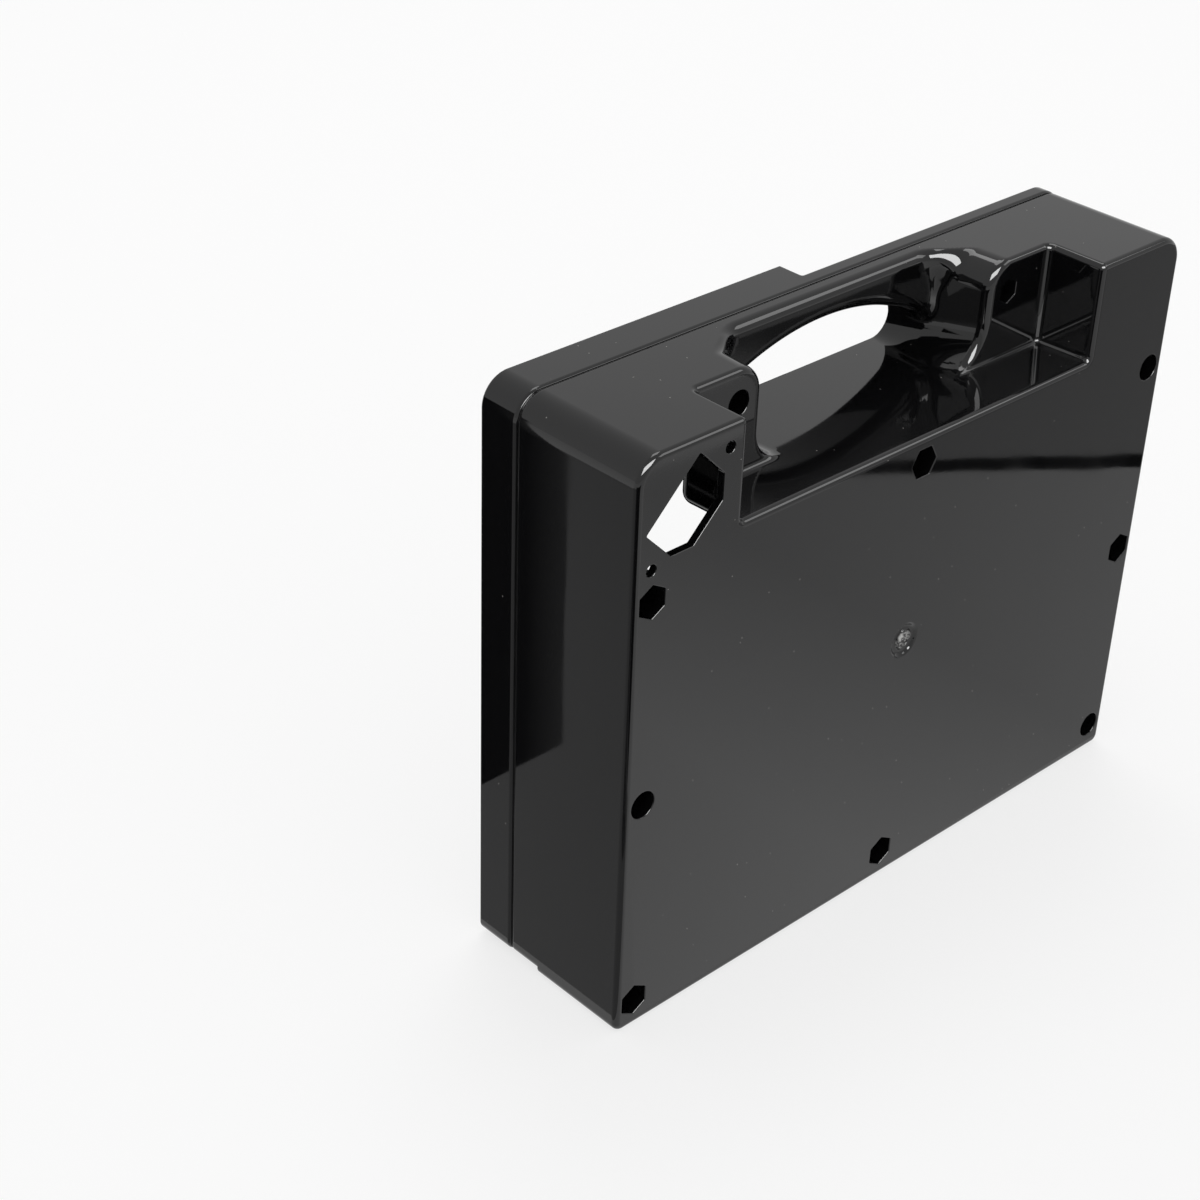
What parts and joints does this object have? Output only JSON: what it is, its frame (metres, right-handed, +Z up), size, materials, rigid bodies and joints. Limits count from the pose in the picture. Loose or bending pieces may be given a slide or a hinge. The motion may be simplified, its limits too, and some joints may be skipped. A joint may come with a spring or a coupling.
{
  "type": "injection moulded plastic housing",
  "caption": "Half of a two-part moulded plastic case shell with a recessed carrying handle, screw posts and an inlet cut-out.",
  "frame": {"origin": "middle of the underside, half way between the closed face and the long rim", "axes": "+X along the width, +Y from the closed face to the open side, +Z up"},
  "size_m": [0.24, 0.064, 0.199],
  "materials": {
    "black_abs": "gloss"
  },
  "bodies": {
    "root": {"housing_half": "black_abs"}
  },
  "joints": []
}
